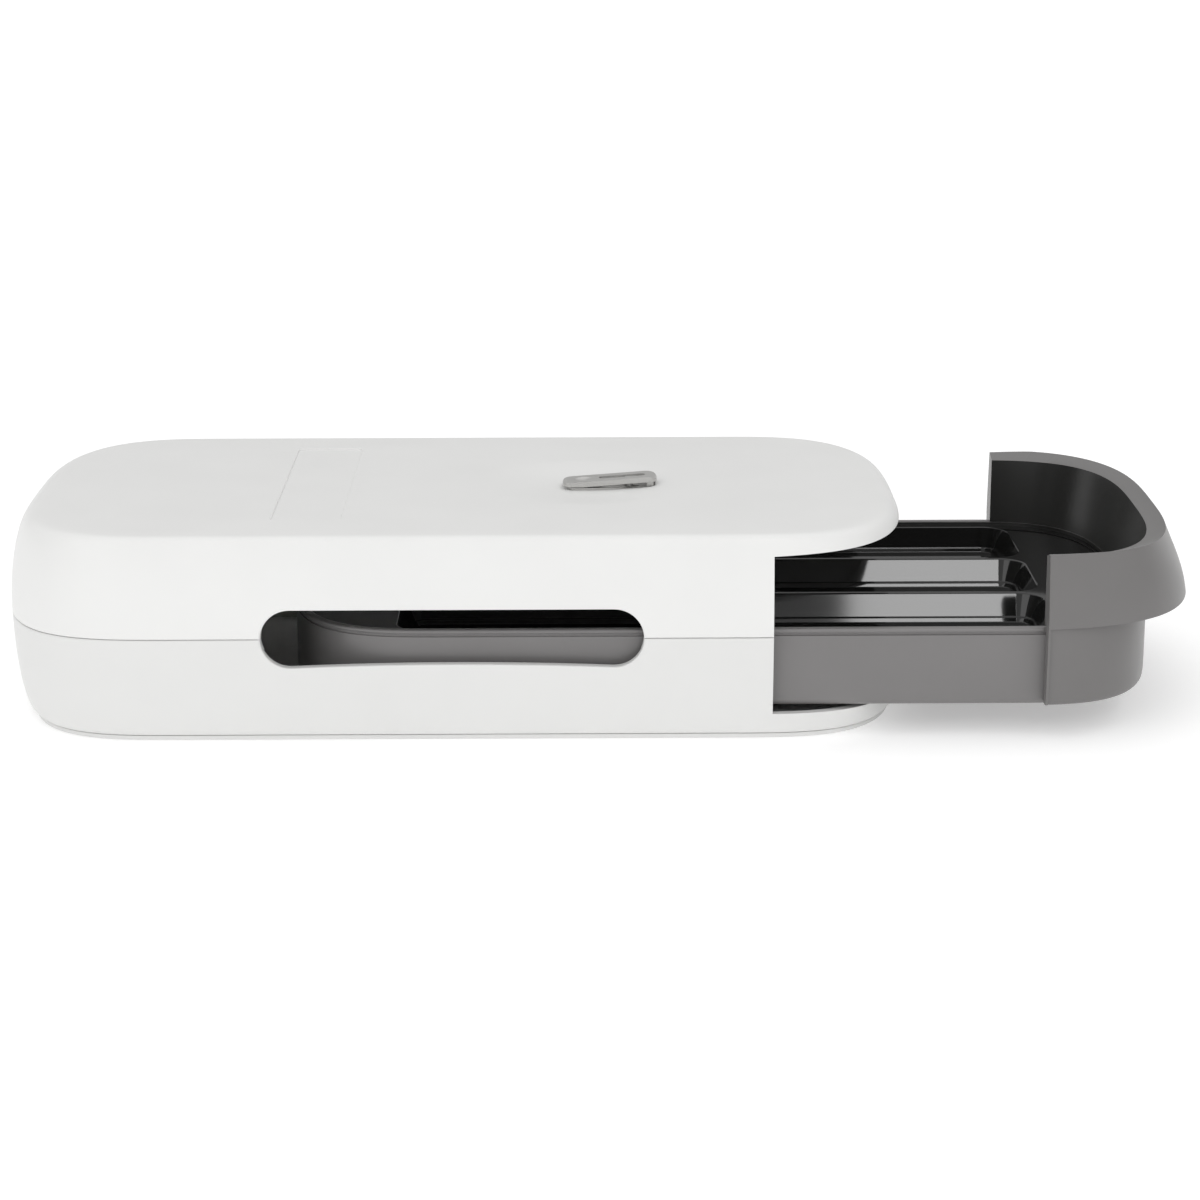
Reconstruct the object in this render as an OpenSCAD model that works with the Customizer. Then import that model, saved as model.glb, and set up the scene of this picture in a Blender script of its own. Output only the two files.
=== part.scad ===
/* [Case] */
// Length of the closed case at its widest level
case_l = 300; // [290:1:310]
// Width of the case at its widest level
case_w = 153; // [150:1:158]
// Height of the case
case_h = 68; // [68:0.5:70]
// Wall thickness of the two case shells
wall = 2.6; // [2.4:0.1:2.8]
// Height of the seam between the shells
seam_z = 35; // [34.5:0.5:35.5]
// Length of the side window
window_l = 122; // [100:1:130]
// Height of the side window
window_h = 19; // [17:0.5:20]

/* [Drawer] */
// How far the drawer is pulled out at rest
drawer_out = 87; // [60:1:90]
// Depth of the three lanes
lane_depth = 9; // [7:0.5:10]
// Wall thickness of the drawer tub
tub_wall = 2.2; // [2:0.1:2.4]

/* [Lever] */
// Length of the lever from its free end to its rounded heel
lever_l = 32; // [31:0.5:33]
// Width of the lever
lever_w = 10; // [10:0.2:11]
// Distance of the lever's centre from the middle of the case
lever_x = 49.5; // [48:0.5:51]

/* [Hidden] */

// Plan outline: straight sides that run into rounded ends, x = straight + r * cos(t)^(2/n)
end_n = 3.2;
straight_x = 90;
steps = 13;
function end_power(v) = pow(max(v, 0), 2 / end_n);
function quarter(a, b) = [for (i = [0:steps]) let (t = 90 * i / steps)
    [straight_x + (a - straight_x) * end_power(cos(t)), b * end_power(sin(t))]];
function reversed(list) = [for (i = [len(list) - 1:-1:0]) list[i]];
function outline(a_right, b, a_left = 0) = let (left = a_left == 0 ? a_right : a_left,
        q = quarter(a_right, b), p = quarter(left, b)) concat(
    q,
    [for (v = reversed(p)) [-v[0], v[1]]],
    [for (i = [1:steps]) [-p[i][0], -p[i][1]]],
    [for (i = [steps:-1:1]) [q[i][0], -q[i][1]]]);

// Closed skin through a stack of outlines, each level being [z, inset at the ends, inset at the sides]
module skin(levels, half_l, half_w) {
    rings = [for (l = levels) [for (p = outline(half_l - l[1], half_w - l[2])) [p[0], p[1], l[0]]]];
    n = len(rings[0]);
    k = len(rings);
    polyhedron(
        points = [for (r = rings) for (p = r) p],
        faces = concat(
            [[for (i = [0:n - 1]) i]],
            [for (j = [0:k - 2]) for (i = [0:n - 1]) let (m = (i + 1) % n)
                [j * n + i, (j + 1) * n + i, (j + 1) * n + m]],
            [for (j = [0:k - 2]) for (i = [0:n - 1]) let (m = (i + 1) % n)
                [j * n + i, (j + 1) * n + m, j * n + m]],
            [[for (i = [n - 1:-1:0]) (k - 1) * n + i]]),
        convexity = 6);
}

module rounded_slab(l, w, r, h) linear_extrude(h) {
    square([l - 2 * r, w], center = true);
    square([l, w - 2 * r], center = true);
    for (sx = [-1, 1], sy = [-1, 1]) translate([sx * (l / 2 - r), sy * (w / 2 - r)]) circle(r, $fn = 40);
}

// Case levels
half_l = case_l / 2;
half_w = case_w / 2;
base_gap_z = 1.9;
lower_levels = [[base_gap_z, 5.6, 4.6], [3, 4.4, 3.5], [5, 3.4, 2.7], [9, 2.3, 1.8],
                [14, 1.4, 1.1], [24, 0.4, 0.3], [seam_z - 0.1, 0, 0]];
upper_levels = [[seam_z + 0.1, 0, 0], [42, 0.1, 0.15], [50, 0.9, 0.8], [56, 2.0, 1.6], [60, 3.1, 2.3],
                [63, 4.2, 2.9], [case_h - 3, 5.4, 3.4], [case_h - 1.8, 6.6, 3.8],
                [case_h - 1, 8.2, 4.3], [case_h - 0.5, 10.5, 5], [case_h - 0.2, 15, 6.6], [case_h, 30, 24]];
ceiling_z = case_h - 3;
floor_top_z = 6;
plug_z = 3.5;
function shrunk(levels, z_low, z_high, by) = [for (l = levels) if (l[0] >= z_low && l[0] <= z_high)
    [l[0], l[1] + by, l[2] + by]];
cavity_upper = concat([[seam_z - 1, wall, wall]], shrunk(upper_levels, seam_z, 63, wall), [[ceiling_z, 8,
    6.1]]);
cavity_lower = concat([[floor_top_z, 6.2, 5.6]], shrunk(lower_levels, 9, 24, wall), [[seam_z + 1, wall,
    wall]]);

// The end opening that the drawer leaves through
mouth_x = 101;
mouth_low = 9;
mouth_high = 61;
mouth_rise = 2.6;
module mouth() rotate([90, 0, 0]) linear_extrude(2 * case_w, center = true)
    polygon([[mouth_x, mouth_low], [case_l, mouth_low], [case_l, mouth_high + mouth_rise * 3],
             [mouth_x + 60, mouth_high + mouth_rise], [mouth_x, mouth_high]]);

// Side window: a racetrack whose lower edge bows up slightly in the middle
window_bow = 1.1;
window_x = -1.3;
module window() translate([window_x, 0, 0]) rotate([90, 0, 0])
linear_extrude(2 * case_w, center = true) {
    r = window_h / 2;
    half = window_l / 2 - r;
    for (s = [-1, 1]) translate([s * half, seam_z]) circle(r, $fn = 48);
    polygon(concat([[half, seam_z + r], [-half, seam_z + r]],
        [for (i = [0:12]) let (u = -1 + i / 6)
            [half * u, seam_z - r + window_bow * (1 - u * u)]]));
}

// Shallow round dish under the lever
dish_l = 68;
dish_w = 66;
dish_depth = 1.95;
dish_x = 40;
function bowl(u) = -dish_depth * pow(1 - u * u, 1.5);
module dish() translate([dish_x, 0, case_h]) {
    k = 6;
    n = 40;
    pts = concat([[0, 0, bowl(0)]],
        [for (j = [1:k]) for (i = [0:n - 1]) let (u = j / k, t = 360 * i / n)
            [u * dish_l / 2 * cos(t), u * dish_w / 2 * sin(t), bowl(u)]],
        [for (i = [0:n - 1]) let (t = 360 * i / n) [dish_l / 2 * cos(t), dish_w / 2 * sin(t), 2]]);
    polyhedron(points = pts, faces = concat(
        [for (i = [0:n - 1]) [0, 1 + i, 1 + (i + 1) % n]],
        [for (j = [0:k - 1]) for (i = [0:n - 1]) let (a = 1 + j * n, b = a + n, m = (i + 1) % n)
            [a + i, b + m, a + m]],
        [for (j = [0:k - 1]) for (i = [0:n - 1]) let (a = 1 + j * n, b = a + n, m = (i + 1) % n)
            [a + i, b + i, b + m]],
        [[for (i = [n - 1:-1:0]) 1 + k * n + i]]), convexity = 4);
}

// Lever geometry: the hinge is at the heel, to the right
base_t = 0.8;
base_z = case_h - dish_depth;
leaf_z = base_z + base_t;
hinge_x = lever_x + lever_l / 2 - 2.4;
hinge_z = leaf_z + 1.65;
link_r = 7;
plunger_x = hinge_x - link_r;
link_z = leaf_z + 2.0;
pin_r = 0.6;
link_pin_r = 0.5;
plunger_r = 1.6;
bush_r = 3.2;

panel_x = -49.2;
panel_l = 22.5;
panel_w = 104;
panel_depth = 0.5;

module top_shell() color([0.93, 0.93, 0.92]) difference() {
    union() {
        difference() {
            skin(upper_levels, half_l, half_w);
            skin(cavity_upper, half_l, half_w);
        }
        // pad that keeps the roof thick under the dish
        translate([dish_x, 0, ceiling_z - 2.2]) rounded_slab(dish_l + 6, dish_w + 6, 20, 2.4);
        translate([plunger_x, 0, ceiling_z - 7]) cylinder(r = bush_r + 1.8, h = 5, $fn = 40);
    }
    mouth();
    window();
    dish();
    translate([plunger_x, 0, ceiling_z - 8]) cylinder(r = bush_r, h = 12, $fn = 48);
    for (s = rivet_places) translate([s, 0, ceiling_z - 3]) cylinder(r = rivet_r, h = 8, $fn = 32);
    // flat seat for the lever's base
    translate([(base_left + base_right) / 2, 0, base_z])
        rounded_slab(base_right - base_left + 0.6, 9.6, 2.7, 5);
    translate([panel_x, 0, case_h - panel_depth]) rounded_slab(panel_l, panel_w, 2, 2);
}

module bottom_shell() color([0.92, 0.92, 0.91]) difference() {
    union() {
        difference() {
            skin(lower_levels, half_l, half_w);
            skin(cavity_lower, half_l, half_w);
        }
        difference() {
            translate([0, 0, seam_z - 4]) linear_extrude(6)
                polygon(outline(half_l - wall - 0.1, half_w - wall - 0.1));
            translate([0, 0, seam_z - 5]) linear_extrude(8)
                polygon(outline(half_l - wall - 1.3, half_w - wall - 1.3));
            translate([mouth_x - 2, -case_w, 0]) cube([case_l, 2 * case_w, case_h]);
        }
        for (p = screw_places) translate([p[0], p[1], floor_top_z - 1]) cylinder(r = 3.4, h = 4.2, $fn = 32);
    }
    mouth();
    window();
    translate([detent_x + 7, 0, plug_z + 0.5]) cylinder(r = 1.2, h = 6, $fn = 32);
    translate([0, 0, base_gap_z - 1]) linear_extrude(plug_z - base_gap_z + 1)
        polygon(outline(half_l - plug_inset + 0.3, half_w - plug_inset + 0.3));
    for (p = screw_places) translate([p[0], p[1], 0]) cylinder(r = screw_r, h = floor_top_z + 2.2, $fn = 32);
}

plug_inset = 10.5;
screw_r = 1.2;
screw_head_r = 2.5;
screw_places = [for (x = [-104, 0, 92], y = [-40, 40]) [x, y]];
pad_places = [for (x = [-108, 100], y = [-52, 52]) [x, y]];
pad_l = 26;
pad_w = 10;
pad_t = 1;

module base_plate() color([0.88, 0.88, 0.87]) difference() {
    union() {
        linear_extrude(1.6) polygon(outline(half_l - 6, half_w - 5));
        translate([0, 0, 1.5]) linear_extrude(plug_z - 0.3 - 1.5)
            polygon(outline(half_l - plug_inset, half_w - plug_inset));
    }
    for (p = screw_places) translate([p[0], p[1], -1]) {
        cylinder(r = screw_r + 0.3, h = 6, $fn = 32);
        cylinder(r = screw_head_r + 0.3, h = 2.5, $fn = 32);
    }
    for (p = pad_places) translate([p[0], p[1], -1]) rounded_slab(pad_l, pad_w, 4.9, 1 + pad_t);
}

module base_pads() color([0.25, 0.25, 0.26]) for (p = pad_places)
    translate([p[0], p[1], 0]) rounded_slab(pad_l - 0.2, pad_w - 0.2, 4.8, pad_t - 0.05);

module base_screws() color("silver") for (p = screw_places) translate([p[0], p[1], 0.3]) difference() {
    union() {
        cylinder(r = screw_head_r, h = 1.1, $fn = 32);
        cylinder(r = screw_r - 0.05, h = 7.2, $fn = 32);
    }
    for (a = [0, 90]) rotate([0, 0, a]) translate([-1.4, -0.3, -1]) cube([2.8, 0.6, 1.7]);
}

// Slippery strips that carry the tub
glide_y = 54;
module glide_strip() translate([-112, -3, floor_top_z]) cube([204, 6, tub_low - floor_top_z - 0.1]);
module glide_strip_front() color([0.8, 0.8, 0.78]) translate([0, -glide_y, 0]) glide_strip();
module glide_strip_rear() color([0.8, 0.8, 0.78]) translate([0, glide_y, 0]) glide_strip();

module rear_bumpers() color([0.2, 0.2, 0.2]) for (s = [-1, 1]) difference() {
    translate([-tub_left - 0.2, s * 24, 22]) rotate([0, -90, 0]) cylinder(r = 3.4, h = 5, $fn = 32);
    bumper_seat();
}
// Everything outside the cavity of the lower shell, to trim a bumper to its wall
module bumper_seat() difference() {
    translate([-half_l - 5, -case_w / 2, 12]) cube([20, case_w, 20]);
    skin(cavity_lower, half_l, half_w);
}

// Leaf spring under the tub that clicks into a groove when the drawer is shut
detent_x = -52;
detent_w = 9;
module detent_spring() color("lightsteelblue") translate([detent_x, 0, floor_top_z]) difference() {
    rotate([90, 0, 0]) linear_extrude(detent_w, center = true) polygon([
        [0, 0], [16, 0], [34, 3.0], [40, 4.0], [46, 3.0], [50, 0.6], [50, 1.1],
        [46.4, 3.5], [40, 4.3], [33.8, 3.5], [15.9, 0.5], [0, 0.5]]);
    translate([7, 0, -1]) cylinder(r = 1.8, h = 4, $fn = 32);
}
module detent_screw() color("silver") translate([detent_x + 7, 0, 0]) difference() {
    union() {
        translate([0, 0, floor_top_z + 0.5]) cylinder(r = 3, h = 1.2, $fn = 32);
        translate([0, 0, plug_z + 0.6]) cylinder(r = 1.15, h = floor_top_z - plug_z + 0.8, $fn = 32);
    }
    translate([-1.8, -0.35, floor_top_z + 1.2]) cube([3.6, 0.7, 1]);
}

// Lever group
rivet_r = 1.1;
rivet_places = [lever_x - 10, lever_x - 2];
base_left = lever_x - lever_l / 2 + 2;
base_right = hinge_x + 1.6;
ear_y = 3.2;
ear_t = 0.9;
ear_r = 1.1;
module lever_base() color([0.62, 0.62, 0.61]) difference() {
    union() {
        translate([(base_left + base_right) / 2, 0, base_z])
            rounded_slab(base_right - base_left, 9, 2.4, base_t);
        for (s = [-1, 1]) translate([hinge_x, s * ear_y, base_z]) rotate([90, 0, 0])
            linear_extrude(ear_t, center = true) {
                translate([-ear_r, 0]) square([2 * ear_r, hinge_z - base_z]);
                translate([0, hinge_z - base_z]) circle(ear_r, $fn = 32);
            }
    }
    translate([hinge_x, 10, hinge_z]) rotate([90, 0, 0]) cylinder(r = pin_r + 0.03, h = 20, $fn = 32);
    translate([plunger_x, 0, base_z - 1]) cylinder(r = plunger_r + 0.4, h = 3, $fn = 40);
    for (x = rivet_places) translate([x, 0, base_z - 1]) cylinder(r = rivet_r + 0.05, h = 3, $fn = 32);
}

module lever_rivets() color("silver") for (x = rivet_places) translate([x, 0, 0]) {
    translate([0, 0, ceiling_z - 3.1]) cylinder(r = 1.9, h = 0.8, $fn = 32);
    translate([0, 0, ceiling_z - 2.4]) cylinder(r = rivet_r - 0.03, h = leaf_z - ceiling_z + 2.5, $fn = 32);
    translate([0, 0, leaf_z + 0.02]) cylinder(r = 1.7, h = 0.25, $fn = 32);
}

module hinge_pin() color("silver") translate([hinge_x, ear_y + 0.75, hinge_z]) rotate([90, 0, 0])
    cylinder(r = pin_r, h = 2 * ear_y + 1.5, $fn = 32);

module plunger_bush() color([0.8, 0.8, 0.78]) translate([plunger_x, 0, ceiling_z - 7]) difference() {
    union() {
        translate([0, 0, -0.9]) cylinder(r = bush_r - 0.04, h = 7.8, $fn = 48);
        translate([0, 0, -0.9]) cylinder(r = bush_r + 1.2, h = 0.88, $fn = 48);
    }
    translate([0, 0, -2]) cylinder(r = plunger_r + 0.06, h = 12, $fn = 48);
}

// Channel-section arm with a thumb hollow, a long slot and a rolled heel
web_t = 0.9;
free_x = lever_x - lever_l / 2;
lever_side = [[free_x, leaf_z + 0.35], [free_x + 0.3, leaf_z + 1.3], [free_x + 1.4, leaf_z + 1.75],
              [free_x + 4, leaf_z + 1.95], [hinge_x - 5, leaf_z + 3.45], [hinge_x - 1, leaf_z + 3.75],
              [hinge_x + 0.8, leaf_z + 3.55], [hinge_x + 1.9, leaf_z + 3.0], [hinge_x + 2.4, leaf_z + 2.4],
              [hinge_x + 2.3, leaf_z + 2.0], [hinge_x - 2, leaf_z + 2.0], [free_x + 7, leaf_z + 0.35]];
hollow_side = [[free_x + 11, base_z - 1], [free_x + 11, leaf_z + 1.6],
               [hinge_x - 5, leaf_z + 3.45 - web_t], [hinge_x - 0.6, leaf_z + 2.85],
               [hinge_x + 0.9, leaf_z + 2.6], [hinge_x + 1.5, leaf_z + 2.0], [hinge_x + 1.5, base_z - 1]];
knuckle_w = 2 * (ear_y - ear_t / 2) - 0.3;
module lever_plan(w) {
    l = lever_l;
    translate([lever_x, 0]) {
        square([l - w * 0.8, w], center = true);
        for (s = [-1, 1]) translate([s * (l / 2 - w * 0.4), 0]) scale([0.8, 1]) circle(w / 2, $fn = 40);
    }
}
module lever() color([0.6, 0.6, 0.59]) difference() {
    union() {
        difference() {
            intersection() {
                rotate([90, 0, 0]) linear_extrude(lever_w + 2, center = true) polygon(lever_side);
                translate([0, 0, base_z]) linear_extrude(12) lever_plan(lever_w);
            }
            rotate([90, 0, 0]) linear_extrude(2 * ear_y + ear_t + 0.8, center = true) polygon(hollow_side);
        }
        rotate([90, 0, 0]) linear_extrude(knuckle_w, center = true) {
            translate([hinge_x, hinge_z]) circle(1.2, $fn = 32);
            polygon([[hinge_x - 1.2, hinge_z], [hinge_x + 1.2, hinge_z], [hinge_x + 1.7, leaf_z + 2.9],
                     [hinge_x - 1.2, leaf_z + 3.3]]);
        }
    }
    translate([lever_x + 4.2, 0, base_z]) rounded_slab(15.6, 3, 1.4, 12);
    translate([free_x + 6.6, 0, leaf_z + 8]) sphere(r = 6.5, $fn = 72);
    translate([hinge_x, 10, hinge_z]) rotate([90, 0, 0]) cylinder(r = pin_r + 0.05, h = 20, $fn = 32);
    translate([plunger_x, 10, link_z]) rotate([90, 0, 0]) cylinder(r = link_pin_r + 0.02, h = 20, $fn = 32);
}

module cross_pin() color("silver") translate([plunger_x, lever_w / 2 - 0.05, link_z]) rotate([90, 0, 0])
    cylinder(r = link_pin_r, h = lever_w - 0.1, $fn = 32);

// Round bolt that stops the drawer at the middle lane's end wall, with a slotted eye for the cross pin
plunger_low = 33.6;
clip_z = 44;
eye_t = 1.5;
eye_slot = 2.0;
module plunger() color("silver") difference() {
    union() {
        translate([plunger_x, 0, plunger_low])
            cylinder(r = plunger_r, h = link_z - 1.5 - plunger_low, $fn = 48);
        translate([plunger_x, 0, plunger_low]) cylinder(r = 2.4, h = 5, $fn = 48);
        translate([plunger_x - 1.3, -eye_t / 2, link_z - 1.9]) cube([4.6, eye_t, 2.9]);
    }
    translate([plunger_x, 5, link_z]) rotate([90, 0, 0]) linear_extrude(10) {
        translate([0, -link_pin_r - 0.2]) square([eye_slot, 2 * link_pin_r + 0.4]);
        for (x = [0, eye_slot]) translate([x, 0]) circle(link_pin_r + 0.2, $fn = 32);
    }
    translate([plunger_x, 0, clip_z]) difference() {
        cylinder(r = 3, h = 0.7, $fn = 40);
        translate([0, 0, -1]) cylinder(r = 1.2, h = 3, $fn = 40);
    }
}
module spring_clip() color("silver") translate([plunger_x, 0, clip_z + 0.05]) difference() {
    cylinder(r = 3.6, h = 0.6, $fn = 40);
    translate([0, 0, -1]) cylinder(r = 1.25, h = 3, $fn = 40);
    translate([0, -0.9, -1]) cube([5, 1.8, 3]);
}

// Return spring between the bush and the clip
module plunger_spring() color("silver") {
    low = clip_z + 0.9;
    high = ceiling_z - 8.15;
    coil_r = 2.7;
    wire_r = 0.25;
    turns = 6;
    sides = 6;
    rings = 14 * turns;
    pts = [for (k = [0:rings]) for (s = [0:sides - 1]) let (t = 360 * turns * k / rings, q = 360 * s / sides)
        [(coil_r + wire_r * cos(q)) * cos(t), (coil_r + wire_r * cos(q)) * sin(t),
         low + (high - low) * k / rings + wire_r * sin(q)]];
    translate([plunger_x, 0, 0]) polyhedron(points = pts, faces = concat(
        [[for (s = [0:sides - 1]) s]],
        [for (k = [0:rings - 1]) for (s = [0:sides - 1]) let (m = (s + 1) % sides)
            [k * sides + s, (k + 1) * sides + s, (k + 1) * sides + m]],
        [for (k = [0:rings - 1]) for (s = [0:sides - 1]) let (m = (s + 1) % sides)
            [k * sides + s, (k + 1) * sides + m, k * sides + m]],
        [[for (s = [sides - 1:-1:0]) rings * sides + s]]), convexity = 20);
}

// Drawer
tub_low = 10.5;
tub_high = 36.4;
tub_left = half_l - 7;
tub_right = half_l - 11.6;
tub_b = half_w - 6;
land_z = 34.8;
ledge_z = land_z - 1.6;
module drawer_tub() color([0.48, 0.47, 0.47]) translate([drawer_out, 0, 0]) difference() {
    union() {
        translate([0, 0, tub_low]) linear_extrude(tub_high - tub_low)
            polygon(outline(tub_right, tub_b, tub_left));
        // bead round the rim, left off where the front wraps the tub
        intersection() {
            translate([0, 0, tub_high - 1.5]) linear_extrude(1.5)
                polygon(outline(tub_right, tub_b + 0.7, tub_left + 0.7));
            translate([-case_l, -case_w, 0]) cube([case_l + mouth_x - 0.4, 2 * case_w, case_h]);
        }
    }
    translate([0, 0, tub_low + 2]) linear_extrude(case_h)
        polygon(outline(tub_right - tub_wall - 1.4, tub_b - tub_wall - 1.4, tub_left - tub_wall - 1.4));
    translate([0, 0, ledge_z]) linear_extrude(case_h)
        polygon(outline(tub_right - tub_wall, tub_b - tub_wall, tub_left - tub_wall));
    // click groove
    translate([detent_x + 40, 0, tub_low]) rotate([90, 0, 0]) linear_extrude(detent_w + 4, center = true)
        polygon([[-2.4, -1], [-1.2, 0.7], [1.2, 0.7], [2.4, -1]]);
    for (p = front_screw_places) {
        front_screw_hole(p, 1.5);
        translate([tub_right - 10, p[0], p[1]]) rotate([0, 90, 0]) cylinder(r = 2.9, h = 6.1, $fn = 32);
    }
}

lane_l = 214;
lane_r = 9;
lane_taper = 3.8;
insert_t = 1.6;
insert_b = tub_b - tub_wall - 1.8;
// Half width of the middle lane, and the inner and outer edge of the outer lanes, at the top
middle_b = 21.05;
outer_in = 23.15;
outer_out = insert_b - 1.2;
// A lane's hollow between y0 and y1: its walls slope in towards the floor by slope0 and slope1
module lane(y0, y1, slope0, slope1) translate([0, 0, land_z - lane_depth]) hull() {
    translate([0, (y0 + slope0 + y1 - slope1) / 2, 0])
        rounded_slab(lane_l - 2 * lane_taper, y1 - y0 - slope0 - slope1, lane_r - lane_taper, 0.01);
    translate([0, (y0 + y1) / 2, lane_depth]) rounded_slab(lane_l, y1 - y0, lane_r, 1);
}
module lane_insert() color([0.4, 0.4, 0.4]) translate([drawer_out, 0, 0]) difference() {
    union() {
        translate([0, 0, ledge_z + 0.02]) linear_extrude(insert_t)
            polygon(outline(tub_right - tub_wall - 0.15, tub_b - tub_wall - 0.15,
                tub_left - tub_wall - 0.15));
        translate([0, 0, land_z - lane_depth - insert_t])
            rounded_slab(lane_l + 2 * insert_t, 2 * insert_b, 10, lane_depth + insert_t / 2);
    }
    lane(-middle_b, middle_b, lane_taper, lane_taper);
    for (s = [0, 1]) mirror([0, s, 0]) lane(outer_in, outer_out, lane_taper, 0.4);
}

// Curved front: a narrow lower band, and above it a flared lip that overhangs as the pull
front_low = 11.3;
lip_z = tub_high + 0.8;
front_top = mouth_high - 0.2;
front_gap = 0.4;
front_levels_low = [[front_low, 9.3, 1.6], [front_low + 0.8, 8.9, 1.2], [lip_z + 4, 8.9, 0.6]];
front_levels_lip = [[lip_z, -4, 0.0], [lip_z + 0.9, -4.7, -0.1], [lip_z + 2.6, -4.5, 0.0], [44, -3.6, 0.4],
                    [50, -1.5, 1.1], [56, 1.2, 1.9], [64, 4.6, 3.1]];
lip_inside = [[lip_z - 1, 14.2, 9.1], [front_top + 4, 7.8, 9.1]];
module front_cut(low, rise_low, high, rise_high) rotate([90, 0, 0]) linear_extrude(2 * case_w, center = true)
    polygon([[mouth_x + front_gap, low], [mouth_x + 60, low + rise_low], [mouth_x + 60, high + rise_high],
             [mouth_x + front_gap, high]]);
module drawer_front() color([0.5, 0.5, 0.5]) translate([drawer_out, 0, 0]) difference() {
    union() {
        intersection() {
            skin(front_levels_low, half_l, half_w);
            front_cut(front_low, 0, lip_z + 3, 0);
        }
        difference() {
            intersection() {
                skin(front_levels_lip, half_l, half_w);
                front_cut(lip_z, 2.2, front_top, mouth_rise);
            }
            // groove for the fingertips, open below
            difference() {
                translate([0, 0, lip_z - 5]) linear_extrude(18) polygon(outline(half_l + 0.7, half_w - 14));
                translate([0, 0, lip_z - 6]) linear_extrude(22) polygon(outline(half_l - 5.1, half_w - 2));
                translate([-case_l, -case_w, 0]) cube([case_l + mouth_x + 22, 2 * case_w, case_h]);
            }
        }
    }
    linear_extrude(tub_high + 0.05) polygon(outline(tub_right + 0.2, tub_b + 0.25, tub_left));
    skin(lip_inside, half_l, half_w);
    // rim that slopes down to the inside
    skin([[front_top - 1.6, 8.4, 9.3], [front_top + 3.2, -9.1, -4]], half_l, half_w);
    for (p = front_screw_places) front_screw_hole(p, 1.2);
}

// Screws through the tub's end wall into the front
front_screw_places = [for (y = [-18, 18], z = [17, 27]) [y, z]];
module front_screw_hole(p, r) translate([tub_right - 8, p[0], p[1]]) rotate([0, 90, 0])
    cylinder(r = r, h = 9.4, $fn = 32);
module front_screws() color("silver") translate([drawer_out, 0, 0]) for (p = front_screw_places)
    translate([tub_right - 5.1, p[0], p[1]]) rotate([0, 90, 0]) difference() {
        union() {
            cylinder(r = 2.6, h = 1.2, $fn = 32);
            cylinder(r = 1.15, h = 6.2, $fn = 32);
        }
        for (a = [0, 90]) rotate([0, 0, a]) translate([-1.5, -0.3, -0.5]) cube([3, 0.6, 1.1]);
    }

top_shell();
bottom_shell();
base_plate();
base_pads();
base_screws();
glide_strip_front();
glide_strip_rear();
rear_bumpers();
detent_spring();
detent_screw();
lever_base();
lever_rivets();
hinge_pin();
plunger_bush();
plunger_spring();
drawer_tub();
lane_insert();
drawer_front();
front_screws();
lever();
cross_pin();
plunger();
spring_clip();
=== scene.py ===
"""Rounded two-shell drawer case with a metal lever on top: the looks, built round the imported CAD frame.
Shapes are worked out in millimetres and turned into metres when a piece is finished."""

import math

import bmesh
import bpy
import numpy as np
from mathutils import Matrix, Vector

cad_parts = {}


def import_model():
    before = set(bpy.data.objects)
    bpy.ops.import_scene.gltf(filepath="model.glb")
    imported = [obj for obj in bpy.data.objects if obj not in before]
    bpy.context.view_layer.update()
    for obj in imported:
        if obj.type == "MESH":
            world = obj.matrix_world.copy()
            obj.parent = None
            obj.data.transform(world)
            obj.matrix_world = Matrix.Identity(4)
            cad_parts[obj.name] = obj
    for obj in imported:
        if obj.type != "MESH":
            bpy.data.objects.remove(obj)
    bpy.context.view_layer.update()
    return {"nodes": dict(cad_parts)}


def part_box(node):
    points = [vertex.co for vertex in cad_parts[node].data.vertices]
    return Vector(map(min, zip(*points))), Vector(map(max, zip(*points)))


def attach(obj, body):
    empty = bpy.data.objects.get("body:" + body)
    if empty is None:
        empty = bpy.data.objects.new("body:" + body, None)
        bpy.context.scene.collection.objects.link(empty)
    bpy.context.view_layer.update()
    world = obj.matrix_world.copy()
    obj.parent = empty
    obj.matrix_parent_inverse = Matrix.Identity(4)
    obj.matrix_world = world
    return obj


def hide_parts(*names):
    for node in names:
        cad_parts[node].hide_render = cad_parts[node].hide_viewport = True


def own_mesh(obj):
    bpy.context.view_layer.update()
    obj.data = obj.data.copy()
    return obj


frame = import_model()
MM = 0.001


def box_mm(node):
    """Lowest and highest corner of a CAD node in millimetres."""
    low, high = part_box(node)
    return np.array(low) / MM, np.array(high) / MM


# ---------------------------------------------------------------- sizes from the frame
top_high = box_mm("top_shell")[1]
lever_low, lever_high = box_mm("lever")
pin_low, pin_high = box_mm("hinge_pin")
leaf_low, leaf_high = box_mm("lever_base")

HALF_L = 150.0
HALF_W = top_high[1]
CASE_H = top_high[2]
SEAM_Z = 35.0
SEAM_HALF = 0.1
WALL = 2.6
DRAWER_OUT = 87.0

# ---------------------------------------------------------------- plan outline
END_N = 3.2
STRAIGHT_X = 90.0
OUTLINE_STEP = 1.9
OUTLINE_TURN = math.radians(2.2)
STRAIGHT_CUTS = 24


def end_angles():
    """Angles along a rounded end, close where it is long or bends."""
    t = np.linspace(0.0, math.pi / 2, 6000)
    x = STRAIGHT_X + (HALF_L - STRAIGHT_X) * np.cos(t).clip(0) ** (2 / END_N)
    y = HALF_W * np.sin(t) ** (2 / END_N)
    dx, dy = np.diff(x), np.diff(y)
    turn = np.abs(np.diff(np.unwrap(np.arctan2(dy, dx)), append=0.0))
    turn[-1] = 0.0
    weight = np.concatenate([[0.0], np.cumsum(np.hypot(dx, dy) / OUTLINE_STEP + turn / OUTLINE_TURN)])
    count = int(math.ceil(weight[-1]))
    return np.interp(np.linspace(0.0, weight[-1], count + 1), weight, t)


END_T = end_angles()


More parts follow.
